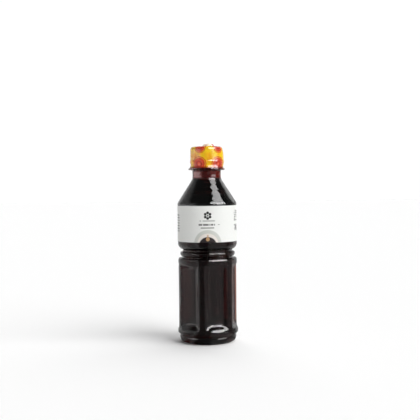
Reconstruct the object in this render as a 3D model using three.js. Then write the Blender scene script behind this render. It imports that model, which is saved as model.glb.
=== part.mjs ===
// A 250 ml clear plastic bottle of black seed oil with a screw cap, a printed shrink seal over the cap
// and a paper label wrapped round the body.
// Millimetres, +Z up. The origin is the middle of the foot, and the front of the label faces -Y.
import * as THREE from "three";
import { mergeVertices } from "three/addons/utils/BufferGeometryUtils.js";

// Resolution
const COLUMNS = 48; // vertical columns round the bottle, eight for each panel
const ARC_STEPS = 2; // a quarter circle gets twice as many chords

// Foot and base
const PUSH_UP = 3.5; // how far the middle of the underside stands off the table
const PUSH_UP_BEND_R = 12; // from here out it falls to the foot
const PUSH_UP_BEND = 2.8;
const FOOT_INNER_R = 18.5;
const FOOT_R = 21.5;
const BASE_R = 25.7;
const BASE_TOP = 5.4;
const BASE_GROOVE_R = 25.35;
const BASE_GROOVE_Z = 6.4;
const RING_FOOT_R = 26.1;
const RING_FOOT_Z = 7.8;
const RING_R = 27.45; // the bumper ring, the widest part of the bottle
const RING_Z = 10.3;
const RING_CROWN = 0.3; // the ring's rounded crown is this deep and twice RING_HALF tall
const RING_HALF = 1.15;

// Lower body: six panels between six pillars
const PILLAR_R = 27;
const PILLAR_FOOT_Z = 12.5;
const PANELS = 6;
const PANEL_TURN = THREE.MathUtils.degToRad(19); // from the front to the middle of the nearest panel
const PILLAR_HALF = (2 * Math.PI) / COLUMNS; // half the angle that a pillar takes
const FLAT_APOTHEM = 22.8; // from the axis to the flat middle of a panel
const FLAT_HALF_WIDTH = 6.2; // the flat ends here, and slopes out to the pillars
const RAMP_SLOPE = 1.1; // how fast a panel sinks in from its two ends
const RAMP_BLEND = 1.6;
const PANEL_LOW = 13.1;
const PANEL_HIGH = 72.6;
const PANEL_ROWS = [13.4, 14.2, 15, 15.8, 16.6, 18, 67.2, 68.6, 69.4, 70.2, 71, 71.8]; // the skin bends here
const INSIDE_ROWS = [13.4, 15, 16.6, 18, 67.2, 69.4, 71]; // the inside bends less

// Waist
const COLLAR_R = 26.75; // the ring that tops the panels
const COLLAR_Z = 73.1; // the collar's upper edge starts to turn in here
const COLLAR_CORNER = 3;
const GROOVE_R = 22.9;
const LOW_GROOVE_Z = 77.2;
const HIGH_GROOVE_Z = 83.2;
const GROOVE_HALF = 0.5; // half the height of the upper groove's floor
const RIB_R = 24.8;
const RIB_CROWN = 0.4; // the rib's rounded crown is this deep and twice RIB_HALF tall
const RIB_HALF = 0.9;
const RIB_Z = 80.2;
const INSIDE_WAIST_LOW = 76.3;
const INSIDE_WAIST_HIGH = 83.6;

// Label panel and shoulder
const BODY_R = 26.9;
const PANEL_CORNER = 6.5; // radius of the turn from the waist to the label panel
const PANEL_CORNER_TURN = THREE.MathUtils.degToRad(55);
const PANEL_CORNER_Z = 90; // the turn ends here
const LABEL_SEAT_R = 26.6;
const LABEL_SEAT_LOW = 91.2;
const LABEL_SEAT_HIGH = 124.4;
const SHOULDER_Z = 126.2; // where the wall and the cone would meet with no rounding
const SHOULDER_CORNER = 5;
const CONE_ANGLE = THREE.MathUtils.degToRad(32.5); // from upright
const SHOULDER_ARC_Z = SHOULDER_Z - SHOULDER_CORNER * Math.tan(CONE_ANGLE / 2); // its rounding starts here

// Neck and its support ring
const NECK_FOOT_R = 13.1;
const NECK_R = 12.95;
const NECK_WAIST_Z = 151.2; // the neck is narrowest here
const NECK_TOP_R = 13.05;
const NECK_TOP_Z = 155.4;
const NECK_FILLET = 3;
const SUPPORT_R = 16.5;
const SUPPORT_Z = 156.2;
const SUPPORT_THICKNESS = 1.5;
const SUPPORT_EDGE = 0.3; // the ring's rim is rounded by this much
const FINISH_R = 12.4;
const CONE_TOP = SHOULDER_Z + (BODY_R - NECK_FOOT_R) / Math.tan(CONE_ANGLE);
const BORE_R = 10.85;
const BORE_LOW = 152.6; // the inside is a plain bore from here up
const MOUTH_Z = 175;
const LIP = 0.4;

// Wall and contents
const WALL = 0.8;
const OIL_GAP = 0.3;
const OIL_LEVEL = 160; // behind the cap, so the neck is full of oil as far down as it can be seen

// Label
const LABEL_LOW = 91.7;
const LABEL_HIGH = 124;
const LABEL_INNER_R = 26.7;
const LABEL_THICKNESS = 0.22;
const OVERLAP_HALF = THREE.MathUtils.degToRad(9); // the ends of the label overlap at the back

// Cap
const CAP_R = 14.6;
const CAP_TOP_R = 14.1;
const CAP_BORE_R = 12.75;
const CAP_LOW = 158.2;
const CAP_TOP = 176.8;
const CAP_CORNER = 2.4;
const CAP_PLATE = 1.2;
const BAND_R = 14.2; // the tamper band, a step narrower than the cap above it
const BAND_TOP = 162.4;
const BAND_STEP = 0.6;

// Shrink seal
const SEAL_LOW = 158;
const SEAL_THICKNESS = 0.35;
const SEAL_GAP = 0.15;
const SEAL_FLARE_R = 15.5; // the lower edge, where it meets the support ring
const SEAL_FLARE_HEIGHT = 1.8;
const SEAL_HOLE_R = 4.6; // the film draws in over the top of the cap and leaves this open
const PUCKER_FOOT_R = 6.2; // the film starts to rise here
const PUCKER_TOP_R = 5.2;
const PUCKER_LIP = 0.4;
const PUCKER_HEIGHT = 1.9;
const PUCKER_WAVES = 7;
const PUCKER_DEPTH = 0.35;

const point = (r, z) => new THREE.Vector2(r, z);

// The lesser of two numbers, with the corner between them rounded over a width.
function softMin(a, b, width) {
  const near = Math.max(width - Math.abs(a - b), 0) / width;
  return Math.min(a, b) - (near * near * width) / 4;
}

// How far a panel's flat middle and sloping sides lie inside the pillars, at an angle round the bottle.
function panelDepth(azimuth) {
  const pitch = (2 * Math.PI) / PANELS;
  const turned = azimuth - PANEL_TURN;
  const off = Math.abs(turned - pitch * Math.round(turned / pitch));
  const edge = pitch / 2 - PILLAR_HALF;
  if (off > edge - 1e-6) return 0;
  const edgeOut = PILLAR_R * Math.cos(edge);
  const edgeAlong = PILLAR_R * Math.sin(edge);
  const rise = (edgeOut - FLAT_APOTHEM) / (edgeAlong - FLAT_HALF_WIDTH);
  const flat = FLAT_APOTHEM / Math.cos(off);
  const side = (FLAT_APOTHEM - rise * FLAT_HALF_WIDTH) / (Math.cos(off) - rise * Math.sin(off));
  return Math.max(0, PILLAR_R - Math.max(flat, side));
}

// How far the skin is drawn in at a height and an angle: full in the panels, less at their ends.
function recess(z, azimuth) {
  const fromEnd = Math.min(z - PANEL_LOW, PANEL_HIGH - z);
  return Math.max(0, softMin(panelDepth(azimuth), fromEnd * RAMP_SLOPE, RAMP_BLEND));
}

// A profile of (radius, height) points turned round the axis, each vertex's radius put through reshape.
function turned(profile, reshape) {
  const lathe = new THREE.LatheGeometry(profile, COLUMNS, PANEL_TURN);
  lathe.rotateX(Math.PI / 2);
  const at = lathe.attributes.position;
  for (let i = 0; i < at.count; i++) {
    const r = Math.hypot(at.getX(i), at.getY(i));
    if (r < 1e-6) continue;
    const azimuth = Math.atan2(at.getX(i), -at.getY(i));
    const scale = reshape(r, at.getZ(i), azimuth) / r;
    at.setXY(i, at.getX(i) * scale, at.getY(i) * scale);
  }
  lathe.deleteAttribute("normal");
  lathe.deleteAttribute("uv");
  const solid = mergeVertices(lathe, 1e-4);
  solid.computeVertexNormals();
  return solid;
}

const panelled = (r, z, azimuth) => r - recess(z, azimuth);

// The points of an arc about a centre, from one angle to another in radians.
function arc(r, z, radius, from, to) {
  return new THREE.Path().absarc(r, z, radius, from, to, to < from).getPoints(ARC_STEPS);
}

// The one point half way along an arc.
function halfWay(r, z, radius, from, to) {
  const middle = (from + to) / 2;
  return point(r + radius * Math.cos(middle), z + radius * Math.sin(middle));
}

// The outside of the bottle from the middle of the underside to the lip of the mouth.
function outsideProfile() {
  const corner = BASE_R - FOOT_R;
  const waist = [
    ...arc(COLLAR_R - COLLAR_CORNER, COLLAR_Z, COLLAR_CORNER, 0, Math.PI / 2),
    point(GROOVE_R, LOW_GROOVE_Z),
    point(RIB_R - RIB_CROWN, RIB_Z - RIB_HALF),
    point(RIB_R, RIB_Z),
    point(RIB_R - RIB_CROWN, RIB_Z + RIB_HALF),
    point(GROOVE_R, HIGH_GROOVE_Z - GROOVE_HALF),
    point(GROOVE_R, HIGH_GROOVE_Z + GROOVE_HALF),
  ];
  const ring = [
    point(BASE_GROOVE_R, BASE_GROOVE_Z),
    point(RING_FOOT_R, RING_FOOT_Z),
    point(RING_R - RING_CROWN, RING_Z - RING_HALF),
    point(RING_R, RING_Z),
    point(RING_R - RING_CROWN, RING_Z + RING_HALF),
    point(PILLAR_R, PILLAR_FOOT_Z),
  ];
  const pillars = PANEL_ROWS.map((z) => point(PILLAR_R, z));
  const shoulder = arc(BODY_R - SHOULDER_CORNER, SHOULDER_ARC_Z, SHOULDER_CORNER, 0, CONE_ANGLE);
  const neckTangent = NECK_FILLET * Math.tan(CONE_ANGLE / 2);
  const neckFoot = arc(
    NECK_FOOT_R + NECK_FILLET, CONE_TOP + neckTangent, NECK_FILLET, Math.PI + CONE_ANGLE, Math.PI);
  const supportTop = SUPPORT_Z + SUPPORT_THICKNESS;
  return [
    point(0, PUSH_UP),
    point(PUSH_UP_BEND_R, PUSH_UP_BEND),
    point(FOOT_INNER_R, 0),
    ...arc(FOOT_R, corner, corner, -Math.PI / 2, 0),
    point(BASE_R, BASE_TOP),
    ...ring,
    ...pillars,
    ...waist,
    ...arc(BODY_R - PANEL_CORNER, PANEL_CORNER_Z, PANEL_CORNER, -PANEL_CORNER_TURN, 0),
    point(LABEL_SEAT_R, LABEL_SEAT_LOW),
    point(LABEL_SEAT_R, LABEL_SEAT_HIGH),
    ...shoulder,
    ...neckFoot,
    point(NECK_R, NECK_WAIST_Z),
    point(NECK_TOP_R, NECK_TOP_Z),
    point(SUPPORT_R - SUPPORT_EDGE, SUPPORT_Z),
    point(SUPPORT_R, SUPPORT_Z + SUPPORT_THICKNESS / 2),
    point(SUPPORT_R - SUPPORT_EDGE, supportTop),
    point(FINISH_R, supportTop),
    point(FINISH_R, MOUTH_Z - LIP),
    point(FINISH_R - LIP, MOUTH_Z),
  ];
}

// The inside wall from the middle of the floor up to the neck: the outside's main turns, one wall in.
function insideProfile() {
  const foot = BASE_R - FOOT_R;
  return [
    point(0, PUSH_UP + WALL),
    point(PUSH_UP_BEND_R, PUSH_UP_BEND + WALL),
    point(FOOT_INNER_R, WALL),
    point(FOOT_R, WALL),
    halfWay(FOOT_R, foot, foot - WALL, -Math.PI / 2, 0),
    point(BASE_R - WALL, BASE_GROOVE_Z),
    point(PILLAR_R - WALL, RING_Z),
    ...INSIDE_ROWS.map((z) => point(PILLAR_R - WALL, z)),
    point(COLLAR_R - WALL, COLLAR_Z),
    point(GROOVE_R - WALL, INSIDE_WAIST_LOW),
    point(GROOVE_R - WALL, INSIDE_WAIST_HIGH),
    halfWay(BODY_R - PANEL_CORNER, PANEL_CORNER_Z, PANEL_CORNER - WALL, -PANEL_CORNER_TURN, 0),
    point(LABEL_SEAT_R - WALL, LABEL_SEAT_LOW),
    point(LABEL_SEAT_R - WALL, LABEL_SEAT_HIGH),
    halfWay(BODY_R - SHOULDER_CORNER, SHOULDER_ARC_Z, SHOULDER_CORNER - WALL, 0, CONE_ANGLE),
    point(NECK_FOOT_R - WALL, CONE_TOP - WALL * Math.tan(CONE_ANGLE / 2)),
    point(BORE_R, BORE_LOW),
  ];
}

function bottle() {
  const inside = insideProfile().reverse();
  const mouth = [
    point(BORE_R + LIP, MOUTH_Z),
    point(BORE_R, MOUTH_Z - LIP),
  ];
  return turned([...outsideProfile(), ...mouth, ...inside], panelled);
}

// Faces every triangle the other way, for a profile that runs downward.
function facedOut(solid) {
  const index = solid.index;
  for (let i = 0; i < index.count; i += 3) {
    const first = index.getX(i);
    index.setX(i, index.getX(i + 1));
    index.setX(i + 1, first);
  }
  solid.computeVertexNormals();
  return solid;
}

// The oil has the facets of the inside wall, a small gap away from them.
function oil() {
  const [floor, ...sides] = insideProfile();
  const skin = sides.map(({ x, y }) => point(x - OIL_GAP, y < RING_Z ? y + OIL_GAP : y));
  const upward = [
    point(0, floor.y + OIL_GAP),
    ...skin,
    point(BORE_R - OIL_GAP, OIL_LEVEL),
    point(0, OIL_LEVEL),
  ];
  return facedOut(turned(upward.reverse(), panelled));
}

function label() {
  const outer = LABEL_INNER_R + LABEL_THICKNESS;
  const profile = [
    point(LABEL_INNER_R, LABEL_LOW),
    point(outer, LABEL_LOW),
    point(outer, LABEL_HIGH),
    point(LABEL_INNER_R, LABEL_HIGH),
    point(LABEL_INNER_R, LABEL_LOW),
  ];
  return turned(profile, (r, z, azimuth) => {
    const doubled = r > LABEL_INNER_R + LABEL_THICKNESS / 2 && Math.PI - Math.abs(azimuth) < OVERLAP_HALF;
    return doubled ? r + LABEL_THICKNESS : r;
  });
}

function cap() {
  const profile = [
    point(0, CAP_TOP - CAP_PLATE),
    point(CAP_BORE_R, CAP_TOP - CAP_PLATE),
    point(CAP_BORE_R, CAP_LOW),
    point(BAND_R, CAP_LOW),
    point(BAND_R, BAND_TOP),
    point(CAP_R, BAND_TOP + BAND_STEP),
    ...arc(CAP_TOP_R - CAP_CORNER, CAP_TOP - CAP_CORNER, CAP_CORNER, 0, Math.PI / 2),
    point(0, CAP_TOP),
  ];
  return turned(profile, (r) => r);
}

// One face of the film, from its flared lower edge up to where it turns in over the cap, offset from the cap.
function filmSide(offset) {
  return [
    point(SEAL_FLARE_R - SEAL_GAP - SEAL_THICKNESS + offset, SEAL_LOW),
    point(BAND_R + offset, SEAL_LOW + SEAL_FLARE_HEIGHT),
    point(BAND_R + offset, BAND_TOP),
    point(CAP_R + offset, BAND_TOP + BAND_STEP),
    ...arc(CAP_TOP_R - CAP_CORNER, CAP_TOP - CAP_CORNER, CAP_CORNER + offset, 0, Math.PI / 2),
  ];
}

// The film follows the cap's side and top, and gathers into a puckered lip round the hole it leaves.
function seal() {
  const outer = filmSide(SEAL_GAP + SEAL_THICKNESS);
  const inner = filmSide(SEAL_GAP);
  const top = CAP_TOP + SEAL_GAP + SEAL_THICKNESS;
  const profile = [
    ...outer,
    point(PUCKER_FOOT_R, top),
    point(PUCKER_TOP_R, top + PUCKER_HEIGHT),
    point(PUCKER_TOP_R - PUCKER_LIP, top + PUCKER_HEIGHT),
    point(SEAL_HOLE_R, top - SEAL_THICKNESS),
    ...inner.reverse(),
    outer[0],
  ];
  return turned(profile, (r, z, azimuth) => {
    const gathered = r < (PUCKER_FOOT_R + PUCKER_TOP_R) / 2 ? PUCKER_DEPTH : 0;
    return r + gathered * Math.sin(PUCKER_WAVES * azimuth);
  });
}

const MATERIALS = {
  bottle: { color: 0xe8e4de, roughness: 0.08, metalness: 0, transparent: true, opacity: 0.35 },
  oil: { color: 0x1a0706, roughness: 0.1, metalness: 0 },
  label: { color: 0xeeefeb, roughness: 0.6, metalness: 0 },
  cap: { color: 0xf0c64a, roughness: 0.4, metalness: 0 },
  seal: { color: 0xf0a81f, roughness: 0.2, metalness: 0 },
};

const part = new THREE.Group();
for (const [name, make] of Object.entries({ bottle, oil, label, cap, seal })) {
  const mesh = new THREE.Mesh(make(), new THREE.MeshStandardMaterial(MATERIALS[name]));
  mesh.name = name;
  part.add(mesh);
}

export default part;
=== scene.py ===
# A 250 ml clear plastic bottle of black seed oil, with a wrap-round paper label and a printed shrink seal
# over its screw cap. Sizes are in millimetres until a mesh is made, and every mesh is in metres.
import math

import bpy
from mathutils import Euler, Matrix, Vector


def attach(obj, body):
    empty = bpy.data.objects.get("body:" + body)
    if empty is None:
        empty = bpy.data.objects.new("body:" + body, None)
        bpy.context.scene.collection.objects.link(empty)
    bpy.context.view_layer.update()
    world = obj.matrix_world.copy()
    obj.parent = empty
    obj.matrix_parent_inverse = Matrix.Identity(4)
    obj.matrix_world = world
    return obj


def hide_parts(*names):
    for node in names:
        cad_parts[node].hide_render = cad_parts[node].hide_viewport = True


MM = 0.001

# Resolution
COLUMNS = 198  # vertical columns round the bottle
PAPER_COLUMNS = 360  # round the label and the film
CAP_COLUMNS = 480  # round the cap, eight for each knurl
ARC_CHORD = math.radians(12)  # how far one chord of a rounded corner turns
ARC_ROOM = 0.98  # how much of a straight stretch the arcs at its two ends may take
SMALLEST_ARC = 0.001
BOTTLE_STEP = 1  # the longest step along each outline
FLOOR_STEP = 2
LABEL_STEP = 1.6
CAP_STEP = 1.2
FILM_STEP = 0.7
ON_AXIS = 1e-6
SHARP_EDGE = math.radians(50)  # edges that turn by more than this aren't smoothed

# Foot, base and bumper ring
PUSH_UP = 3.5  # how far the middle of the underside stands off the table
PUSH_UP_BEND_R = 12  # from here out it falls to the foot
PUSH_UP_BEND = 3
FOOT_INNER_R = 18.2
FOOT_R = 21.6
HEEL_R = 24.6
HEEL_Z = 1.2
BASE_R = 25.7
BASE_LOW = 4
BASE_TOP = 5.2
BASE_GROOVE_R = 25.55
BASE_GROOVE_LOW = 6.1
BASE_GROOVE_TOP_R = 25.6
BASE_GROOVE_TOP = 7.2
RING_R = 27.45
RING_LOW = 8.9
RING_HIGH = 11.4

# Lower body: six panels between six pillars
PILLAR_R = 27.05
PILLAR_FOOT_Z = 12.7
PILLAR_TOP_Z = 69.6
PILLAR_WAIST = 0.05  # the pillars draw in by this between the heights below
PILLAR_WAIST_LOW = 30
PILLAR_WAIST_HIGH = 55
PANELS = 6
PANEL_TURN = math.radians(19)  # from the front of the label to the middle of the nearest panel
PANEL_HALF = math.radians(23.6)  # half the angle that a panel takes
FLAT_APOTHEM = 22.8  # from the axis to the flat middle of a panel
FLAT_HALF_WIDTH = 6.2  # the flat ends here, and slopes out to the pillars
PANEL_EDGE = 0.5  # rounding of the edges between flats, slopes and pillars
PANEL_LOW = 13.6
PANEL_HIGH = 71.4
LEDGE_SLOPE = 1.35  # millimetres in for each millimetre up, at a panel's lower end
LEDGE_EDGE = 1.7
LEDGE_CORNER = 2.4
RAMP_SLOPE = 0.95  # the same at its upper end
RAMP_EDGE = 0.8
RAMP_CORNER = 1.6

# Collar over the panels, and the two grooves of the waist with the rib between them
COLLAR_R = 26.75
COLLAR_LOW = 71.2
COLLAR_HIGH = 75
COLLAR_RIM_R = 26.36
COLLAR_RIM_Z = 76.2
COLLAR_FLAT = 0.15  # the collar is drawn in by this over each panel
COLLAR_FLAT_FROM = (71, 73)
COLLAR_FLAT_TO = (77.5, 76.9)
LOW_GROOVE_R = 22.6
LOW_GROOVE_LOW = 76.9
LOW_GROOVE_HIGH = 77.5
RIB_FOOT_R = 24.3
RIB_FOOT_Z = 78.6
RIB_R = 24.88
RIB_Z = 80
RIB_CROWN_R = 24.87
RIB_CROWN_Z = 81.1
RIB_RIM_R = 24.65
RIB_RIM_Z = 81.75
HIGH_GROOVE_R = 22.5
HIGH_GROOVE_LOW = 82.8
HIGH_GROOVE_HIGH = 84

# Label panel and shoulder
BODY_R = 26.9
BODY_LOW = 86.3
BODY_CORNER = 6.5
LABEL_SEAT_R = 26.6
LABEL_SEAT_LOW = 91.2
LABEL_SEAT_HIGH = 124.5
LABEL_SEAT_STEP = 0.05
SHOULDER_Z = 126.2  # where the wall and the cone would meet with no rounding
SHOULDER_CORNER = 5
CONE_ANGLE = math.radians(32.5)  # from upright

# Neck, support ring and mouth
NECK_FOOT_R = 13.1
NECK_FILLET = 4
NECK_R = 12.95
NECK_WAIST_Z = 151.2
NECK_WAIST_BEND = 8
NECK_TOP_R = 13.05
NECK_TOP_Z = 155.7
SUPPORT_R = 16.5
SUPPORT_Z = 156.2
SUPPORT_TOP = 157.7
SUPPORT_EDGE = 0.5
FINISH_R = 12.4
FINISH_FILLET = 0.3
MOUTH_Z = 175
LIP = 0.4
MOUTH_INSIDE_Z = 172  # the outline of the outside ends here, in the bore
BORE_R = 10.85
BORE_LOW = 152.6  # the inside is a plain bore from here up
BORE_TAPER_R = 11.25
BORE_TAPER_LOW = 149.6

# Wall and contents
WALL = 0.8
INSIDE_FOOT_R = 21.4
INSIDE_HEEL_R = 23.9
INSIDE_BASE_LOW = 4.4
INSIDE_SIDES_FROM = 5.4  # between these heights the inside follows the outside
INSIDE_SIDES_TO = 148
WET = 0.12  # how far the oil reaches into the wall
OIL_LEVEL = 160  # behind the cap, so no level shows
MENISCUS_RISE = 0.7
MENISCUS_FALL = 0.88  # the rise falls away over this distance from the wall
MENISCUS_ROWS = 12
MENISCUS_CROWDING = 1.5  # the rows crowd towards the wall

# Waves of the blown wall: height, crests round the bottle, and climb in millimetres for each radian
WALL_WAVES = [(0.03, 3, 23), (0.02, 7, -9)]
WALL_WAVES_FROM = (4, 14)  # they come in between these heights
WALL_WAVES_TO = (152, 146)  # and go between these
CONE_RIPPLES = [(0.03, 3, 0.8)]
CONE_RIPPLES_FROM = (SHOULDER_Z, SHOULDER_Z + 3)
CONE_RIPPLES_TO = (147, 145)

# Label
LABEL_LOW = 91.7
LABEL_HIGH = 124
LABEL_R = 26.93
LABEL_THICKNESS = 0.16
LABEL_SEAM = (108, 108.5)  # the outline of the paper starts and ends at these heights
LABEL_INNER_EDGE = 0.03
LABEL_OUTER_EDGE = 0.05
LABEL_WAVES = [(0.03, 5, 11), (0.018, 11, -5)]
OVERLAP = math.radians(9)  # the ends of the label overlap by this at the back
OVERLAP_FROM = math.pi - OVERLAP - 0.03  # the upper end lifts off the wall from here
OVERLAP_TO = math.pi - OVERLAP + 0.02

# Cap
CAP_R = 14.6
CAP_TOP_R = 14.1
CAP_CORNER_R = 14.2  # where the side and the top would meet with no rounding
CAP_CORNER = 2.4
CAP_BORE_R = 12.75
CAP_BORE_CORNER = 0.8
CAP_LOW = 158.2
CAP_TOP = 176.8
CAP_PLATE = 1.2
CAP_EDGE = 0.2
CAP_DISH_R = 5
CAP_DISH_FLOOR_R = 4.6
CAP_DISH = 0.15
BAND_R = 14.2  # the tamper band, a step narrower than the cap above it
BAND_TOP = 162.4
BAND_STEP = 0.6
KNURLS = 60
KNURL_DEPTH = 0.16
KNURLS_FROM = (BAND_TOP + 1, BAND_TOP + 2)
KNURLS_TO = (CAP_TOP - 1.5, CAP_TOP - 3.5)

# Shrink seal
FILM = 0.2
FILM_GAP = 0.15
SEAL_LOW = 157.95
SEAL_FLARE_R = 15.2  # the inside of the lower edge, just over the support ring
SEAL_FLARE_HEIGHT = 1.9
SEAL_BAND_SLACK = 0.1
SEAL_STEP_HALF = 1.2  # the film slopes over the step of the cap from this far under it to this far over it
SEAL_BULGE = 0.22
SEAL_BULGE_TOP = 2.5
SEAL_TIGHT = 0.05
SEAL_HOLE_R = 4.4
PUCKER_FOOT = 1.4  # how far outside the hole the film starts to rise
PUCKER_HEIGHT = 2.2
PUCKER_INSIDE = 0.6
PUCKER_LIP = 0.4

# Creases of the film, each wave with a height, a number of crests and the angle that it starts from
PLEAT = 0.12  # pleats of the flared edge, which come and go in groups
PLEATS = 23
PLEAT_GROUPS = 5
PLEATS_FROM = (SEAL_LOW + 2.2, SEAL_LOW)
FOLD = 0.06  # folds on the top, crowded together in places
FOLDS = 17
FOLD_CROWDS = 3
FOLD_CROWDING = 2
FOLDS_FROM = (CAP_TOP - 1, CAP_TOP)
FOLDS_OUT = (3, 11)
LIP_FROM = (SEAL_HOLE_R + 1.6, SEAL_HOLE_R + 0.8)
LIP_WAVES = [(1.8, 1, 0), (0.12, 7, 0), (0.08, 12, 1)]  # the first shifts the whole lip to the right
LIP_DIPS = [(0.2, 2, 0.8), (0.1, 5, 0)]
FILM_WAVES = [(0.05, 4, 3)]  # height, crests and climb
FILM_WAVES_FROM = (158, 160)
SLACK = 0.9  # the film stands off the right side of the cap by this
SLACK_NARROWNESS = 4
SLACK_FROM = (SEAL_LOW, SEAL_LOW + 3)
SLACK_TO = (CAP_TOP, CAP_TOP - 8)

# The photograph's camera: focal length and picture width in pixels, place in millimetres
FOCAL_PX = 800
PICTURE_PX = 420
SENSOR = 36
CAMERA_DISTANCE = 729.6
CAMERA_HEIGHT = 142.9
CAMERA_SIDE = 2.75
CAMERA_PITCH = math.radians(1.83)
CAMERA_ROLL = math.radians(0.59)
CLIP_START = 10

# Soft light, in radiance or reflectance. Turns go round from the front to the right, in degrees.
AMBIENT = 0.88  # the foot of the walls, as soft light sees them
AMBIENT_TOP = 20  # degrees up
AMBIENT_EDGE = 6
KEY = 2.3
KEY_SOFTNESS = math.radians(50)
KEY_TURN = 57
KEY_RISE = 42
BACK = 1.72
BACK_SOFTNESS = math.radians(75)
BACK_TURN = 158
BACK_RISE = 46
BACKDROP = 1.02
FLOOR_HALF = 6000
FLOOR_SEEN = 1.0
FLOOR_BOUNCE = 0.85

# The soft box that the gloss mirrors, an oval with a lower, flatter one over it. Sizes are in metres.
SOFT_BOX_DISTANCE = 2
SOFT_BOX = {"turn": 51, "rise": 38, "width": 2.42, "height": 1.8, "radiance": 6.2}
SOFT_BOX_CORE = {"turn": 50, "rise": 32, "width": 2.24, "height": 1.05, "radiance": 5.4}
BOTTLE_MIDDLE = 90  # it faces this height

# The rest of what the gloss mirrors: from one turn to another, and how bright
PATCH_EDGE = 3  # degrees on either side over which one brightness passes into the next
# Painted shade and painted light on the floor's colour, seen only in the bottle's gloss.
FLOOR_MIRRORED = 0.4
FLOOR_PATCHES = [
    (-180, -85, 0.68), (-85, -60, 0.48), (-47, -38, 0.68), (-33, 5, 0.11),
    (80, 93, 0.13), (93, 112, 0.3), (112, 150, 0.6),
]
ROOM_BEHIND = 0.4
WALLS = [(-172, -134, 0.9), (-134, -105, 0.45), (-105, -44, 0.6), (-44, 131, 0.17)]
HIGH_WALLS = [(-160, -134, 0.75), (131, 160, 1.2)]
HIGH_WALLS_RISE = (12, 90)
LOW_STRIPS = [(-146, -115, 0.8), (-115, -85, 2.6), (-85, -44, 2.8), (38, 80, 4.5), (131, 165, 0.9)]
LOW_STRIPS_RISE = (-4, 6)
RISE_EDGE = 2
CEILING = 0.08
CEILING_RISE = 34
CEILING_LEFT_RISE = 48  # it starts higher on the left, past the turn below
CEILING_LEFT_TURN = -100
CEILING_LEFT_EDGE = 25
CEILING_FADE = (-6, 8)


# Curves

def soft_min(a, b, width):
    """The lesser of two numbers, with the corner between them rounded over a width."""
    near = max(width - abs(a - b), 0) / width
    return min(a, b) - near * near * width / 4


def soft_max(a, b, width):
    return -soft_min(-a, -b, width)


def ramp(low, high, value):
    """0 below low, 1 above high, and smooth between them."""
    t = min(max((value - low) / (high - low), 0), 1)
    return t * t * (3 - 2 * t)


def climbing(waves, azimuth, z):
    """The sum of waves round the axis that climb as they go: height, crests, and millimetres up a radian."""
    return sum(height * math.sin(crests * azimuth + z / climb) for height, crests, climb in waves)


def ruffled(waves, azimuth):
    """The sum of waves round the axis: height, crests, and the angle that each starts from."""
    return sum(height * math.sin(crests * azimuth + start) for height, crests, start in waves)


def rounded(corners):
    """An outline through (radius, height, rounding) corners, each rounded as far as there is room."""
    points = [Vector(corner[:2]) for corner in corners]
    turns = [0] * len(corners)
    reaches = [0] * len(corners)
    for i in range(1, len(corners) - 1):
        turns[i] = (points[i] - points[i - 1]).angle(points[i + 1] - points[i])
        reaches[i] = corners[i][2] * math.tan(turns[i] / 2)
    shares = [1] * len(corners)
    for i in range(1, len(corners)):
        room = ARC_ROOM * (points[i] - points[i - 1]).length
        wanted = reaches[i] + reaches[i - 1]
        if wanted > room:
            shares[i - 1] = min(shares[i - 1], room / wanted)
            shares[i] = min(shares[i], room / wanted)
    outline = []
    for i, here in enumerate(points):
        reach = reaches[i] * shares[i]
        if reach < SMALLEST_ARC:
            outline.append(tuple(here))
            continue
        start = here + (points[i - 1] - here).normalized() * reach
        end = here + (points[i + 1] - here).normalized() * reach
        steps = max(2, round(turns[i] / ARC_CHORD))
        for step in range(steps + 1):
            t = step / steps
            outline.append(tuple(start * (1 - t) ** 2 + here * 2 * t * (1 - t) + end * t ** 2))
    return outline


def filled_in(points, longest):
    """The same outline with its long stretches cut into pieces no longer than a length."""
    dense = [points[0]]
    for a, b in zip(points, points[1:]):
        cuts = max(1, math.ceil(math.dist(a, b) / longest))
        for i in range(1, cuts + 1):
            dense.append((a[0] + (b[0] - a[0]) * i / cuts, a[1] + (b[1] - a[1]) * i / cuts))
    return dense


# The bottle's form

def panel_depth(azimuth):
    """How far a panel lies inside the pillars at an angle round the bottle, before its ends are shaped."""
    pitch = 2 * math.pi / PANELS
    turned = azimuth - PANEL_TURN
    off = abs(turned - pitch * round(turned / pitch))
    edge_out = PILLAR_R * math.cos(PANEL_HALF)
    edge_along = PILLAR_R * math.sin(PANEL_HALF)
    rise = (edge_out - FLAT_APOTHEM) / (edge_along - FLAT_HALF_WIDTH)
    flat = PILLAR_R - FLAT_APOTHEM / math.cos(off)
    lean = math.cos(off) - rise * math.sin(off)
    side = PILLAR_R - (FLAT_APOTHEM - rise * FLAT_HALF_WIDTH) / lean
    return soft_max(soft_min(flat, side, PANEL_EDGE), 0, PANEL_EDGE)


def recess(z, azimuth):
    """How far the skin is drawn in: a panel's depth, less at the ledge at its foot and the slope on top."""
    depth = panel_depth(azimuth)
    ledge = soft_max((z - PANEL_LOW) * LEDGE_SLOPE, 0, LEDGE_EDGE)
    slope = soft_max((PANEL_HIGH - z) * RAMP_SLOPE, 0, RAMP_EDGE)
    return max(0, soft_min(soft_min(depth, ledge, LEDGE_CORNER), slope, RAMP_CORNER))


def bottle_skin(r, z, azimuth):
    """The bottle's radius at a height and an angle, with the faint waves of a blown wall."""
    waist = PILLAR_WAIST * ramp(PANEL_LOW, PILLAR_WAIST_LOW, z) * ramp(PANEL_HIGH, PILLAR_WAIST_HIGH, z)
    over_panels = math.cos(PANELS * (azimuth - PANEL_TURN))
    flats = COLLAR_FLAT * over_panels * ramp(*COLLAR_FLAT_FROM, z) * ramp(*COLLAR_FLAT_TO, z)
    waves = climbing(WALL_WAVES, azimuth, z) * ramp(*WALL_WAVES_FROM, z) * ramp(*WALL_WAVES_TO, z)
    ripples = climbing(CONE_RIPPLES, azimuth, z) * ramp(*CONE_RIPPLES_FROM, z) * ramp(*CONE_RIPPLES_TO, z)
    return r - recess(z, azimuth) - waist - flats + waves + ripples


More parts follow.
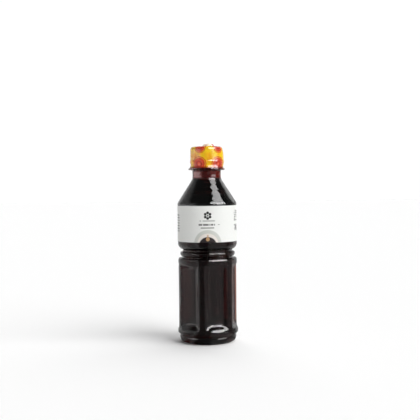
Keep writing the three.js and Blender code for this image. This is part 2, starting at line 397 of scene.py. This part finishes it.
def on_skin(r, z, azimuth):
    return bottle_skin(r, z, azimuth), z


def outside_outline():
    """The outside of the bottle from the middle of its underside over the lip and into the bore."""
    cone_top = SHOULDER_Z + (BODY_R - NECK_FOOT_R) / math.tan(CONE_ANGLE)
    base = [
        (0, PUSH_UP, 0), (PUSH_UP_BEND_R, PUSH_UP_BEND, 9), (FOOT_INNER_R, 0, 1), (FOOT_R, 0, 2.5),
        (HEEL_R, HEEL_Z, 3), (BASE_R, BASE_LOW, 3), (BASE_R, BASE_TOP, 0.9),
        (BASE_GROOVE_R, BASE_GROOVE_LOW, 0.9), (BASE_GROOVE_TOP_R, BASE_GROOVE_TOP, 0.9),
        (RING_R, RING_LOW, 1.5), (RING_R, RING_HIGH, 1.4), (PILLAR_R, PILLAR_FOOT_Z, 1.2),
    ]
    waist = [
        (PILLAR_R, PILLAR_TOP_Z, 1.5), (COLLAR_R, COLLAR_LOW, 1.5), (COLLAR_R, COLLAR_HIGH, 0.9),
        (COLLAR_RIM_R, COLLAR_RIM_Z, 0.4), (LOW_GROOVE_R, LOW_GROOVE_LOW, 0.1),
        (LOW_GROOVE_R, LOW_GROOVE_HIGH, 0.1), (RIB_FOOT_R, RIB_FOOT_Z, 1), (RIB_R, RIB_Z, 0.6),
        (RIB_CROWN_R, RIB_CROWN_Z, 0.3), (RIB_RIM_R, RIB_RIM_Z, 0.2),
        (HIGH_GROOVE_R, HIGH_GROOVE_LOW, 0.1), (HIGH_GROOVE_R, HIGH_GROOVE_HIGH, 0.1),
    ]
    panel = [
        (BODY_R, BODY_LOW, BODY_CORNER), (BODY_R, LABEL_SEAT_LOW - LABEL_SEAT_STEP, 0),
        (LABEL_SEAT_R, LABEL_SEAT_LOW, 0), (LABEL_SEAT_R, LABEL_SEAT_HIGH, 0),
        (BODY_R, LABEL_SEAT_HIGH + LABEL_SEAT_STEP, 0),
    ]
    top = [
        (BODY_R, SHOULDER_Z, SHOULDER_CORNER), (NECK_FOOT_R, cone_top, NECK_FILLET),
        (NECK_R, NECK_WAIST_Z, NECK_WAIST_BEND), (NECK_TOP_R, NECK_TOP_Z, SUPPORT_EDGE),
        (SUPPORT_R, SUPPORT_Z, SUPPORT_EDGE), (SUPPORT_R, SUPPORT_TOP, SUPPORT_EDGE),
        (FINISH_R, SUPPORT_TOP, FINISH_FILLET), (FINISH_R, MOUTH_Z, LIP), (BORE_R, MOUTH_Z, LIP),
        (BORE_R, MOUTH_INSIDE_Z, 0),
    ]
    return filled_in(rounded(base + waist + panel + top), BOTTLE_STEP)


def inside_outline(offset):
    """The inside of the wall from the middle of its floor to the bore, moved in by an offset."""
    inset = WALL + offset
    floor = rounded([
        (0, PUSH_UP + inset, 0), (PUSH_UP_BEND_R, PUSH_UP_BEND + inset, 9), (FOOT_INNER_R, inset, 1),
        (INSIDE_FOOT_R, inset, 2.5), (INSIDE_HEEL_R - offset, HEEL_Z + inset, 2.5),
        (BASE_R - inset, INSIDE_BASE_LOW, 2), (BASE_R - inset, BASE_TOP, 0),
    ])
    sides = [
        (r - inset, z) for r, z in outside_outline()
        if INSIDE_SIDES_FROM < z < INSIDE_SIDES_TO and r > NECK_FOOT_R
    ]
    bore = [(BORE_TAPER_R - offset, BORE_TAPER_LOW), (BORE_R - offset, BORE_LOW)]
    return filled_in(floor, FLOOR_STEP) + sides[:-1:2] + sides[-1:] + bore


# Meshes

def revolved(name, profile, reshape, columns=COLUMNS, closed=False):
    """A mesh turned round the axis from (radius, height) points, placed by reshape(r, z, azimuth)."""
    vertices = []
    starts = []
    for r, z in profile:
        starts.append(len(vertices))
        count = 1 if r < ON_AXIS else columns
        for column in range(count):
            azimuth = 2 * math.pi * column / columns
            azimuth -= 2 * math.pi * (azimuth > math.pi)
            out, height = reshape(r, z, azimuth)
            place = (out * math.sin(azimuth) * (count > 1), -out * math.cos(azimuth) * (count > 1), height)
            vertices.append(tuple(c * MM for c in place))
    pairs = list(zip(range(len(profile)), range(1, len(profile))))
    if closed:
        pairs.append((len(profile) - 1, 0))
    faces = []
    for lower, upper in pairs:
        low_pole = profile[lower][0] < ON_AXIS
        high_pole = profile[upper][0] < ON_AXIS
        for column in range(columns):
            after = (column + 1) % columns
            a = starts[lower] + (0 if low_pole else column)
            b = starts[lower] + (0 if low_pole else after)
            c = starts[upper] + (0 if high_pole else after)
            d = starts[upper] + (0 if high_pole else column)
            faces.append([a, c, d] if low_pole else [a, b, c] if high_pole else [a, b, c, d])
    mesh = bpy.data.meshes.new(name)
    mesh.from_pydata(vertices, [], faces)
    mesh.polygons.foreach_set("use_smooth", [True] * len(faces))
    mesh.set_sharp_from_angle(angle=SHARP_EDGE)
    mesh.update()
    piece = bpy.data.objects.new(name, mesh)
    bpy.context.scene.collection.objects.link(piece)
    return piece


def dressed(piece, node, slot, *materials):
    """The piece stands for a CAD node, in its own materials."""
    for material in materials:
        piece.data.materials.append(material)
    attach(piece, "root")
    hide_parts(node)


# Shader graphs

class Graph:
    """Adds nodes to a node tree and links them as they are named."""

    def __init__(self, tree):
        self.tree = tree
        tree.nodes.clear()

    def put(self, socket, value):
        if isinstance(value, bpy.types.NodeSocket):
            self.tree.links.new(value, socket)
        else:
            socket.default_value = value

    def node(self, kind, inputs=None, **settings):
        made = self.tree.nodes.new(kind)
        for name, value in settings.items():
            setattr(made, name, value)
        for name, value in (inputs or {}).items():
            self.put(made.inputs[name], value)
        return made

    def math(self, operation, *values, clamp=False):
        made = self.node("ShaderNodeMath", operation=operation, use_clamp=clamp)
        for socket, value in zip(made.inputs, values):
            self.put(socket, value)
        return made.outputs[0]

    def hypotenuse(self, a, b):
        squares = self.math("ADD", self.math("POWER", a, 2), self.math("POWER", b, 2))
        return self.math("SQRT", squares)

    def azimuth(self, x, y):
        """The angle from the front, -Y, round to the right."""
        return self.math("ARCTAN2", x, self.math("MULTIPLY", y, -1))

    def degrees(self, radians):
        return self.math("MULTIPLY", radians, 180 / math.pi)

    def mix(self, factor, a, b):
        """A mix of two colours."""
        made = self.node("ShaderNodeMix", data_type="RGBA")
        for socket, value in zip((made.inputs[0], made.inputs[6], made.inputs[7]), (factor, a, b)):
            self.put(socket, value)
        return made.outputs[2]

    def blend(self, factor, a, b):
        """A mix of two numbers."""
        return self.node("ShaderNodeMix", {0: factor, 2: a, 3: b}).outputs[0]

    def spread(self, value, low, high):
        """A value from 0 to 1 spread from low to high."""
        return self.math("MULTIPLY_ADD", value, high - low, low)

    def above(self, value, low, high):
        """0 where value is under low, 1 where it is over high, and a straight rise between them."""
        return self.node("ShaderNodeMapRange", {"Value": value, 1: low, 2: high, 3: 0, 4: 1}).outputs[0]

    def below(self, value, limit, edge):
        """1 where value is under the limit and 0 above it, over an edge."""
        made = self.node("ShaderNodeMapRange", {"Value": value, 1: limit - edge, 2: limit + edge, 3: 1, 4: 0})
        return made.outputs[0]

    def within(self, value, low, high, edge):
        """1 where value is between two limits, over an edge at either end."""
        off = self.math("ABSOLUTE", self.math("SUBTRACT", value, (low + high) / 2))
        return self.below(off, (high - low) / 2, edge)

    def patched(self, level, turn, patches, where=1):
        """A brightness with others laid over it, each from one turn to another, where there is a mask."""
        for low, high, brightness in patches:
            share = self.math("MULTIPLY", self.within(turn, low, high, PATCH_EDGE), where)
            level = self.blend(share, level, brightness)
        return level

    def noise(self, where, scale, detail=2):
        made = self.node("ShaderNodeTexNoise", {"Vector": where, "Scale": scale, "Detail": detail})
        return made.outputs["Fac"]

    def bump(self, height, distance):
        return self.node("ShaderNodeBump", {"Height": height, "Distance": distance}).outputs[0]

    def colours(self, value, stops):
        """The colour that a value takes between (value, screen colour) stops."""
        made = self.node("ShaderNodeValToRGB", {"Fac": value})
        elements = made.color_ramp.elements
        for i, (position, shade) in enumerate(stops):
            stop = elements[i] if i < len(elements) else elements.new(position)
            stop.position = position
            stop.color = srgb(*shade)
        return made.outputs[0]

    def surface(self, inputs, volume=None):
        shader = self.node("ShaderNodeBsdfPrincipled", inputs)
        out = self.node("ShaderNodeOutputMaterial", {"Surface": shader.outputs[0]})
        if volume is not None:
            self.put(out.inputs["Volume"], volume)

    def place(self):
        """The point on the object in metres, its separate coordinates, and its angle round the axis."""
        where = self.node("ShaderNodeTexCoord").outputs["Object"]
        parts = self.node("ShaderNodeSeparateXYZ", {0: where}).outputs
        return where, parts, self.azimuth(parts[0], parts[1])


def material(name):
    made = bpy.data.materials.new(name)
    made.use_nodes = True
    return made, Graph(made.node_tree)


def srgb(red, green, blue):
    """A colour given as it looks on a screen, from 0 to 255, as Blender's linear colour."""
    def linear(value):
        value /= 255
        return value / 12.92 if value <= 0.04045 else ((value + 0.055) / 1.055) ** 2.4
    return (linear(red), linear(green), linear(blue), 1)


# Materials. Bump distances are real heights, and the scale of a noise is in waves for each metre.

PET_IOR = 1.57
OIL_IOR = 1.47
OIL_TINT = (0.939, 0.83, 0.75, 1)
OIL_DENSITY = 1700


def clear_plastic(name, gloss):
    """Bottle plastic. The wetted side has no gloss of its own, because oil and plastic bend light alike."""
    made, graph = material(name)
    where, _, _ = graph.place()
    graph.surface({
        "Base Color": srgb(250, 248, 246),
        "Transmission Weight": 1,
        "IOR": PET_IOR,
        "Specular Tint": (gloss, gloss, gloss, 1),
        "Roughness": graph.spread(graph.noise(where, scale=400, detail=3), 0, 0.02),
        "Normal": graph.bump(graph.noise(where, scale=90), 0.15 * MM),
    })
    return made


def dark_oil():
    made, graph = material("dark_oil")
    absorb = graph.node("ShaderNodeVolumeAbsorption", {"Color": OIL_TINT, "Density": OIL_DENSITY})
    graph.surface({
        "Base Color": srgb(255, 250, 246),
        "Transmission Weight": 1,
        "IOR": OIL_IOR,
        "Specular Tint": (0, 0, 0, 1),
        "Roughness": 0,
    }, absorb.outputs[0])
    return made


# The label's print, in millimetres round from the middle of the front and up from the table
PRINT_EDGE = 0.1
DISC_EDGE = 0.12
EMBLEM_X = 0.6
EMBLEM_Z = 115.5
EMBLEM_SEEDS = 6
EMBLEM_R = 2.45
SEED_R = 1.2
EMBLEM_CORE_R = 0.8
ARCH_Z = 90.3
ARCH_R = 12.5
ARCH_INNER_R = 9.4
ARCH_EDGE = 0.4
GLOW_R = 10
GLOW_EDGE = 0.5
DOME_Z = 88.4
DOME_R = 8.2
DROP_Z = 94.6
DROP_R = 1.7
DROP_NECK = (97, 0.6, 1.5)  # height, half width and half height
DROP_NECK_EDGE = 0.4
HEADING = [  # x, height, half width, half height, length of a dash, seed
    (0.2, 110.8, 6.8, 0.3, 1.3, 1), (-0.2, 107.4, 7.3, 0.75, 0.7, 2), (0.4, 104.6, 6, 0.42, 0.9, 3),
]
HEADING_STROKE = (10.6, 107.4, 0.9, 0.22)
HEADING_KEPT = 0.8  # the share of its dashes that are printed
SMALL_PRINT = [  # x, height, half width, half height, pitch of the rows, share that is ink, length of a dash
    (34, 115, 4.2, 5.2, 1.6, 0.6, 0.8), (34, 104.4, 4, 2.8, 1, 0.8, 0.6),
    (-36, 108.5, 4.2, 7.5, 2.4, 0.36, 1.2),
]
BACK_PRINT = (62, 108, 14, 11, 1.7, 0.42, 1.4)
SMALL_PRINT_KEPT = 0.78
ROW_EDGE = 0.08  # how soft the rows are, as a share of their pitch
CHANCE_EDGE = 0.01
WHOLE_LINE = 50  # a pitch so tall that a line of the heading never crosses into the next row of cells


def label_paper():
    made, graph = material("label_paper")
    where, parts, azimuth = graph.place()
    across = graph.math("MULTIPLY", azimuth, LABEL_R)
    up = graph.math("MULTIPLY", parts[2], 1 / MM)

    def disc(x, z, radius, edge=DISC_EDGE):
        far = graph.hypotenuse(graph.math("SUBTRACT", across, x), graph.math("SUBTRACT", up, z))
        return graph.below(far, radius, edge)

    def bar(x, z, half_width, half_height, edge=PRINT_EDGE):
        dx = graph.math("ABSOLUTE", graph.math("SUBTRACT", across, x))
        dz = graph.math("ABSOLUTE", graph.math("SUBTRACT", up, z))
        return graph.math("MULTIPLY", graph.below(dx, half_width, edge), graph.below(dz, half_height, edge))

    def union(*masks):
        whole = masks[0]
        for mask in masks[1:]:
            whole = graph.math("MAXIMUM", whole, mask)
        return whole

    def kept(share, length, pitch, seed):
        """1 in that share of the cells of a grid on the label, each a length wide and a pitch tall."""
        cell = graph.node("ShaderNodeCombineXYZ", {
            0: graph.math("FLOOR", graph.math("DIVIDE", across, length)),
            1: graph.math("FLOOR", graph.math("DIVIDE", up, pitch)),
            2: seed,
        }).outputs[0]
        chance = graph.node("ShaderNodeTexWhiteNoise", {"Vector": cell}, noise_dimensions="3D")
        return graph.below(chance.outputs["Value"], share, CHANCE_EDGE)

    def dashes(x, z, half_width, half_height, length, seed):
        """One row of dashes, like a line of print too fine to read."""
        dash = kept(HEADING_KEPT, length, WHOLE_LINE, seed)
        return graph.math("MULTIPLY", dash, bar(x, z, half_width, half_height))

    def rows(x, z, half_width, half_height, pitch, ink, length):
        """A block of such rows."""
        row = graph.below(graph.math("FRACT", graph.math("DIVIDE", up, pitch)), ink, ROW_EDGE)
        dash = graph.math("MULTIPLY", row, kept(SMALL_PRINT_KEPT, length, pitch, seed=0))
        return graph.math("MULTIPLY", dash, bar(x, z, half_width, half_height))

    def printed(mask, strength, colour, ink):
        return graph.mix(graph.math("MULTIPLY", mask, strength), colour, ink)

    paper = graph.mix(graph.noise(where, scale=900, detail=3), srgb(228, 229, 226), srgb(235, 236, 233))
    glow = disc(EMBLEM_X, ARCH_Z, GLOW_R, GLOW_EDGE)
    arch_hole = disc(EMBLEM_X, ARCH_Z, ARCH_INNER_R, ARCH_EDGE)
    arch = graph.math("SUBTRACT", disc(EMBLEM_X, ARCH_Z, ARCH_R, ARCH_EDGE), arch_hole, clamp=True)
    turns = [2 * math.pi * i / EMBLEM_SEEDS for i in range(EMBLEM_SEEDS)]
    seeds = [
        disc(EMBLEM_X + EMBLEM_R * math.sin(turn), EMBLEM_Z + EMBLEM_R * math.cos(turn), SEED_R)
        for turn in turns
    ]
    emblem = union(*seeds, disc(EMBLEM_X, EMBLEM_Z, EMBLEM_CORE_R))
    heading = union(*[dashes(*line) for line in HEADING], bar(*HEADING_STROKE))
    drop = union(disc(EMBLEM_X, DROP_Z, DROP_R), bar(EMBLEM_X, *DROP_NECK, DROP_NECK_EDGE))
    small_print = union(*[rows(*block) for block in SMALL_PRINT])

    colour = printed(glow, 0.6, paper, srgb(222, 212, 202))
    colour = printed(arch, 0.7, colour, srgb(186, 188, 180))
    colour = printed(disc(EMBLEM_X, DOME_Z, DOME_R), 1, colour, srgb(30, 20, 22))
    colour = printed(emblem, 1, colour, srgb(24, 26, 24))
    colour = printed(heading, 0.85, colour, srgb(48, 46, 44))
    colour = printed(drop, 0.9, colour, srgb(190, 150, 104))
    colour = printed(small_print, 0.9, colour, srgb(60, 62, 64))
    colour = printed(rows(*BACK_PRINT), 0.6, colour, srgb(80, 80, 82))
    graph.surface({
        "Base Color": colour,
        "Roughness": graph.spread(graph.noise(where, scale=1500), 0.5, 0.62),
        "Specular IOR Level": 0.35,
        "Normal": graph.bump(graph.noise(where, scale=2500, detail=4), 0.03 * MM),
    })
    return made


def cap_plastic():
    made, graph = material("cap_plastic")
    where, _, _ = graph.place()
    graph.surface({
        "Base Color": graph.mix(graph.noise(where, scale=300), srgb(240, 226, 180), srgb(247, 236, 200)),
        "Roughness": graph.spread(graph.noise(where, scale=900), 0.35, 0.45),
        "Normal": graph.bump(graph.noise(where, scale=2200, detail=3), 0.03 * MM),
    })
    return made


# The seal's print
SEAL_ROSETTES = 5
ROSETTE_ROWS = [(161.4, 6.8, math.radians(-27)), (176.6, 5.6, math.radians(-24))]  # height, radius and turn
ROSETTE_PETALS = 12
ROSETTE_SCALLOP = 0.03
ROSETTE_RINGS = [  # share of the radius, and screen colour
    (0, (242, 124, 88)), (0.16, (224, 74, 46)), (0.27, (224, 74, 46)), (0.33, (170, 34, 22)),
    (0.42, (180, 40, 24)), (0.48, (240, 118, 80)), (0.56, (230, 78, 48)), (0.72, (222, 70, 42)),
    (0.77, (194, 46, 24)), (0.81, (246, 154, 40)), (0.88, (246, 154, 40)), (0.92, (200, 58, 24)),
]
ROSETTE_EDGE = 0.03
PETALS = (0.46, 0.76)  # the share of the radius where the darker petals lie
PETALS_EDGE = 0.04
PETAL_GAP = -0.1  # each petal is dark where its cosine is under this
PETAL_EDGE = 0.3
GOLD_DRIFT = (0.36, 0.64)  # the gold passes from orange to yellow between these values of a noise
HEM_SHADE_HEIGHT = 1.1  # painted shade darkens the flared edge this far up
HEM_SHADE_EDGE = 0.6
LIP_PALE_FROM = (CAP_TOP + 0.5, CAP_TOP + 1)
LIP_RED = (0.9, 1.9)  # a red corner of the print shows on the lip between these azimuths
LIP_RED_EDGE = 0.1


def seal_film():
    """Glossy gold film, orange in places, printed with two rows of scalloped red rosettes."""
    made, graph = material("seal_film")
    where, parts, azimuth = graph.place()
    out = graph.math("MULTIPLY", graph.hypotenuse(parts[0], parts[1]), 1 / MM)
    height = graph.math("MULTIPLY", parts[2], 1 / MM)
    over_top = graph.math("MAXIMUM", graph.math("SUBTRACT", CAP_TOP_R, out), 0)
    up = graph.math("ADD", height, over_top)

    def rosettes(z, radius, turn):
        """How far the nearest rosette's middle is, as a share of its scalloped radius, and its petals."""
        pitch = 2 * math.pi / SEAL_ROSETTES
        steps = graph.math("DIVIDE", graph.math("SUBTRACT", azimuth, turn), pitch)
        near = graph.math("SUBTRACT", steps, graph.math("ROUND", steps))
        dx = graph.math("MULTIPLY", near, pitch * CAP_R)
        dz = graph.math("SUBTRACT", up, z)
        angle = graph.math("ARCTAN2", dz, dx)
        petals = graph.math("COSINE", graph.math("MULTIPLY", angle, ROSETTE_PETALS))
        edge = graph.math("MULTIPLY_ADD", petals, ROSETTE_SCALLOP * radius, radius)
        return graph.math("DIVIDE", graph.hypotenuse(dx, dz), edge), petals

    def painted(share, petals, colour):
        band = graph.within(share, *PETALS, PETALS_EDGE)
        petal = graph.math("MULTIPLY", graph.below(petals, PETAL_GAP, PETAL_EDGE), band)
        rings = graph.colours(share, ROSETTE_RINGS)
        shaded = graph.mix(graph.math("MULTIPLY", petal, 0.6), rings, srgb(190, 44, 26))
        return graph.mix(graph.below(share, 1, ROSETTE_EDGE), colour, shaded)

    drift = graph.above(graph.noise(where, scale=110), *GOLD_DRIFT)
    colour = graph.mix(drift, srgb(255, 158, 18), srgb(255, 200, 12))
    for row in ROSETTE_ROWS:
        colour = painted(*rosettes(*row), colour)
    # Painted shade: the flared lower edge, where the film tucks in over the support ring, is darkened to deep
    # red.
    hem_shade = graph.below(up, SEAL_LOW + HEM_SHADE_HEIGHT, HEM_SHADE_EDGE)
    colour = graph.mix(graph.math("MULTIPLY", hem_shade, 0.75), colour, srgb(120, 24, 12))
    lip = graph.above(height, *LIP_PALE_FROM)
    colour = graph.mix(lip, colour, srgb(240, 230, 208))
    red_corner = graph.math("MULTIPLY", lip, graph.within(azimuth, *LIP_RED, LIP_RED_EDGE))
    colour = graph.mix(red_corner, colour, srgb(206, 96, 96))
    graph.surface({
        "Base Color": colour,
        "Roughness": graph.spread(graph.noise(where, scale=500), 0.12, 0.2),
        "Subsurface Weight": 0.3,
        "Subsurface Radius": (3 * MM, 1.5 * MM, 0.6 * MM),
        "Subsurface Scale": 0.5,
        "Coat Weight": 0.3,
        "Coat Roughness": 0.1,
        "Normal": graph.bump(graph.noise(where, scale=160, detail=3), 0.3 * MM),
    })
    return made


def white_floor():
    """A pale floor that the camera sees as white, and that the gloss of the bottle sees as a grey one."""
    made, graph = material("white_floor")
    where, _, azimuth = graph.place()
    path = graph.node("ShaderNodeLightPath").outputs
    mirrored = graph.patched(FLOOR_MIRRORED, graph.degrees(azimuth), FLOOR_PATCHES)
    light = graph.blend(path["Is Diffuse Ray"], mirrored, FLOOR_BOUNCE)
    level = graph.blend(path["Is Camera Ray"], light, FLOOR_SEEN)
    grey = graph.node("ShaderNodeCombineColor", {0: level, 1: level, 2: level}).outputs[0]
    graph.surface({
        "Base Color": grey,
        "Roughness": graph.spread(graph.noise(where, scale=20), 0.42, 0.46),
        "Specular IOR Level": 0,
    })
    return made


# Pieces

def make_bottle():
    outside = outside_outline()
    inside = list(reversed(inside_outline(0)))
    piece = revolved("bottle_wall", outside + [(BORE_R, OIL_LEVEL)] + inside, on_skin)
    dry = clear_plastic("clear_plastic", 1)
    wetted = clear_plastic("wetted_plastic", 0)
    dressed(piece, "bottle", "clear_plastic", dry, wetted)
    first_wet = 1 + (len(outside) - 1) * COLUMNS  # one vertex on the axis, then a ring for each point
    for polygon in piece.data.polygons:
        if polygon.vertices[0] >= first_wet:
            polygon.material_index = 1


def make_oil():
    """The oil, with a surface that curves up where it meets the bore."""
    edge = BORE_R + WET
    surface = []
    for i in range(MENISCUS_ROWS):
        inward = edge * (i / MENISCUS_ROWS) ** MENISCUS_CROWDING
        surface.append((edge - inward, OIL_LEVEL + MENISCUS_RISE * math.exp(-inward / MENISCUS_FALL)))
    surface.append((0, OIL_LEVEL))
    piece = revolved("oil_fill", inside_outline(-WET) + surface, on_skin)
    dressed(piece, "oil", "dark_oil", dark_oil())


def make_label():
    def place(r, z, azimuth):
        lapped = LABEL_THICKNESS * ramp(OVERLAP_FROM, OVERLAP_TO, azimuth)
        return r + lapped + climbing(LABEL_WAVES, azimuth, z), z

    inner = LABEL_R - LABEL_THICKNESS
    seam_low, seam_high = LABEL_SEAM
    profile = rounded([
        (inner, seam_low, 0), (inner, LABEL_LOW, LABEL_INNER_EDGE),
        (LABEL_R, LABEL_LOW, LABEL_OUTER_EDGE), (LABEL_R, LABEL_HIGH, LABEL_OUTER_EDGE),
        (inner, LABEL_HIGH, LABEL_INNER_EDGE), (inner, seam_high, 0),
    ])
    piece = revolved("label_wrap", filled_in(profile, LABEL_STEP), place, PAPER_COLUMNS, closed=True)
    dressed(piece, "label", "label_paper", label_paper())


def make_cap():
    def place(r, z, azimuth):
        skirt = ramp(*KNURLS_FROM, z) * ramp(*KNURLS_TO, z) * (r > CAP_BORE_R + 1)
        return r - KNURL_DEPTH * skirt * (0.5 + 0.5 * math.cos(KNURLS * azimuth)), z

    profile = rounded([
        (0, CAP_TOP - CAP_PLATE, 0), (CAP_BORE_R, CAP_TOP - CAP_PLATE, CAP_BORE_CORNER),
        (CAP_BORE_R, CAP_LOW, CAP_EDGE), (BAND_R, CAP_LOW, CAP_EDGE), (BAND_R, BAND_TOP, CAP_EDGE),
        (CAP_R, BAND_TOP + BAND_STEP, 0.3), (CAP_CORNER_R, CAP_TOP, CAP_CORNER), (CAP_DISH_R, CAP_TOP, 0.5),
        (CAP_DISH_FLOOR_R, CAP_TOP - CAP_DISH, 0.3), (0, CAP_TOP - CAP_DISH, 0),
    ])
    piece = revolved("screw_cap", filled_in(profile, CAP_STEP), place, CAP_COLUMNS)
    dressed(piece, "cap", "cap_plastic", cap_plastic())


def film_outline(offset):
    """One face of the film, from its flared lower edge to where it starts to rise, as rounding corners."""
    band = BAND_R + FILM_GAP + offset
    side = CAP_R + FILM_GAP + offset
    top = CAP_TOP + FILM_GAP + offset
    return [
        (SEAL_FLARE_R + offset, SEAL_LOW, 0.1),
        (band + SEAL_BAND_SLACK, SEAL_LOW + SEAL_FLARE_HEIGHT, 1.2),
        (band, BAND_TOP - SEAL_STEP_HALF, 2),
        (side + SEAL_BULGE, BAND_TOP + SEAL_STEP_HALF, 0.6),
        (side - SEAL_TIGHT, BAND_TOP + SEAL_BULGE_TOP, 1),
        (CAP_TOP_R + FILM_GAP + offset, top, CAP_CORNER + offset),
        (SEAL_HOLE_R + PUCKER_FOOT, top, 0.5),
    ]


def film_skin(r, z, azimuth):
    """The film, pleated in the flare, slack on the right, folded on top and ruffled at the lip."""
    top = CAP_TOP + FILM_GAP + FILM
    pleats = PLEAT * math.sin(PLEATS * azimuth) * math.sin(PLEAT_GROUPS * azimuth + 1) * ramp(*PLEATS_FROM, z)
    crowded = FOLDS * azimuth + FOLD_CROWDING * math.sin(FOLD_CROWDS * azimuth)
    folds = FOLD * math.sin(crowded) * ramp(*FOLDS_FROM, z) * ramp(*FOLDS_OUT, r)
    lip = ramp(*LIP_FROM, r)
    dips = ruffled(LIP_DIPS, azimuth) * max(0, z - top) / PUCKER_HEIGHT
    waves = climbing(FILM_WAVES, azimuth, z) * ramp(*FILM_WAVES_FROM, z)
    right = max(0, math.sin(azimuth)) ** SLACK_NARROWNESS
    slack = SLACK * right * ramp(*SLACK_FROM, z) * ramp(*SLACK_TO, z)
    return r + pleats + ruffled(LIP_WAVES, azimuth) * lip + (waves + slack) * (1 - lip), z + folds + dips


def make_seal():
    lip_top = CAP_TOP + FILM_GAP + FILM + PUCKER_HEIGHT
    pucker = [
        (SEAL_HOLE_R, lip_top, 0.3), (SEAL_HOLE_R - PUCKER_LIP, lip_top, 0.1),
        (SEAL_HOLE_R + PUCKER_INSIDE, CAP_TOP + FILM_GAP, 0.3),
    ]
    inner = list(reversed(film_outline(0)))
    profile = filled_in(rounded(film_outline(FILM) + pucker + inner[1:]), FILM_STEP)
    piece = revolved("shrink_seal", profile, film_skin, PAPER_COLUMNS, closed=True)
    dressed(piece, "seal", "seal_film", seal_film())


# Stage

def make_floor():
    half = FLOOR_HALF * MM
    mesh = bpy.data.meshes.new("floor")
    corners = [(-half, -half, 0), (half, -half, 0), (half, half, 0), (-half, half, 0)]
    mesh.from_pydata(corners, [], [(0, 1, 2, 3)])
    floor = bpy.data.objects.new("floor", mesh)
    bpy.context.scene.collection.objects.link(floor)
    mesh.materials.append(white_floor())


def aimed(place, target):
    """A turn that points an object's -Z from a place towards a target."""
    return (Vector(target) - Vector(place)).to_track_quat("-Z", "Y").to_euler()


def direction(turn, rise):
    """A unit vector towards a turn, from the front round to the right, and a rise, in degrees."""
    a = math.radians(turn)
    e = math.radians(rise)
    return Vector((math.cos(e) * math.sin(a), -math.cos(e) * math.cos(a), math.sin(e)))


def gloss_light(name, turn, rise, width, height, radiance):
    """An oval soft box that faces the middle of the bottle and shows only in its gloss."""
    middle = Vector((0, 0, BOTTLE_MIDDLE * MM))
    area = math.pi * width * height / 4
    box = bpy.data.lights.new(name, "AREA")
    box.shape = "ELLIPSE"
    box.size = width
    box.size_y = height
    box.energy = radiance * math.pi * area
    light = bpy.data.objects.new(name, box)
    light.location = middle + direction(turn, rise) * SOFT_BOX_DISTANCE
    light.rotation_euler = aimed(light.location, middle)
    light.visible_camera = False
    light.visible_diffuse = False
    bpy.context.scene.collection.objects.link(light)


def broad_light(name, strength, softness, turn, rise):
    """A light far off, which lights the pieces evenly and isn't mirrored in them."""
    sun = bpy.data.lights.new(name, "SUN")
    sun.energy = strength
    sun.angle = softness
    light = bpy.data.objects.new(name, sun)
    light.rotation_euler = aimed(direction(turn, rise), (0, 0, 0))
    light.visible_glossy = False
    light.visible_transmission = False
    bpy.context.scene.collection.objects.link(light)


def make_lights():
    gloss_light("key_gloss", **SOFT_BOX)
    gloss_light("key_gloss_core", **SOFT_BOX_CORE)
    broad_light("key", KEY, KEY_SOFTNESS, KEY_TURN, KEY_RISE)
    broad_light("back", BACK, BACK_SOFTNESS, BACK_TURN, BACK_RISE)


def make_world():
    """Even white for the camera and for soft light, and a studio of light and dark walls for the gloss."""
    world = bpy.data.worlds.new("studio")
    bpy.context.scene.world = world
    world.use_nodes = True
    graph = Graph(world.node_tree)
    way = graph.node("ShaderNodeTexCoord").outputs["Generated"]
    x, y, z = graph.node("ShaderNodeSeparateXYZ", {0: way}).outputs
    turn = graph.degrees(graph.azimuth(x, y))
    rise = graph.degrees(graph.math("ARCSINE", z))

    walls = graph.patched(ROOM_BEHIND, turn, WALLS)
    walls = graph.patched(walls, turn, HIGH_WALLS, graph.within(rise, *HIGH_WALLS_RISE, RISE_EDGE))
    walls = graph.patched(walls, turn, LOW_STRIPS, graph.within(rise, *LOW_STRIPS_RISE, RISE_EDGE))
    left = graph.below(turn, CEILING_LEFT_TURN, CEILING_LEFT_EDGE)
    over = graph.math("SUBTRACT", rise, graph.spread(left, CEILING_RISE, CEILING_LEFT_RISE))
    room = graph.blend(graph.above(over, *CEILING_FADE), walls, CEILING)

    even = graph.math("MULTIPLY", graph.below(rise, AMBIENT_TOP, AMBIENT_EDGE), AMBIENT)
    path = graph.node("ShaderNodeLightPath").outputs
    unseen = graph.blend(path["Is Diffuse Ray"], room, even)
    strength = graph.blend(path["Is Camera Ray"], unseen, BACKDROP)
    background = graph.node("ShaderNodeBackground", {"Color": (1, 1, 1, 1), "Strength": strength})
    graph.node("ShaderNodeOutputWorld", {0: background.outputs[0]})


def make_camera():
    lens = bpy.data.cameras.new("camera")
    lens.sensor_width = SENSOR
    lens.lens = FOCAL_PX * SENSOR / PICTURE_PX
    lens.clip_start = CLIP_START * MM
    camera = bpy.data.objects.new("camera", lens)
    camera.location = Vector((CAMERA_SIDE, -CAMERA_DISTANCE, CAMERA_HEIGHT)) * MM
    facing = Euler((math.pi / 2 - CAMERA_PITCH, 0, 0)).to_matrix()
    roll = Euler((0, 0, -CAMERA_ROLL)).to_matrix()
    camera.rotation_euler = (facing @ roll).to_euler()
    bpy.context.scene.collection.objects.link(camera)
    bpy.context.scene.camera = camera


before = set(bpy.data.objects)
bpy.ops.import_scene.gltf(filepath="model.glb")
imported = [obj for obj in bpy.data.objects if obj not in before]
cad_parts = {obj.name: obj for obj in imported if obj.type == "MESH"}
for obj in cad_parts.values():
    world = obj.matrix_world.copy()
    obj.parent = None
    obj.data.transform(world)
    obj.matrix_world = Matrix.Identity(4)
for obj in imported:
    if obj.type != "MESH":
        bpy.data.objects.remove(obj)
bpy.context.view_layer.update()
make_camera()
make_bottle()
make_oil()
make_label()
make_cap()
make_seal()
make_floor()
make_world()
make_lights()
bpy.context.scene.view_settings.view_transform = "Standard"
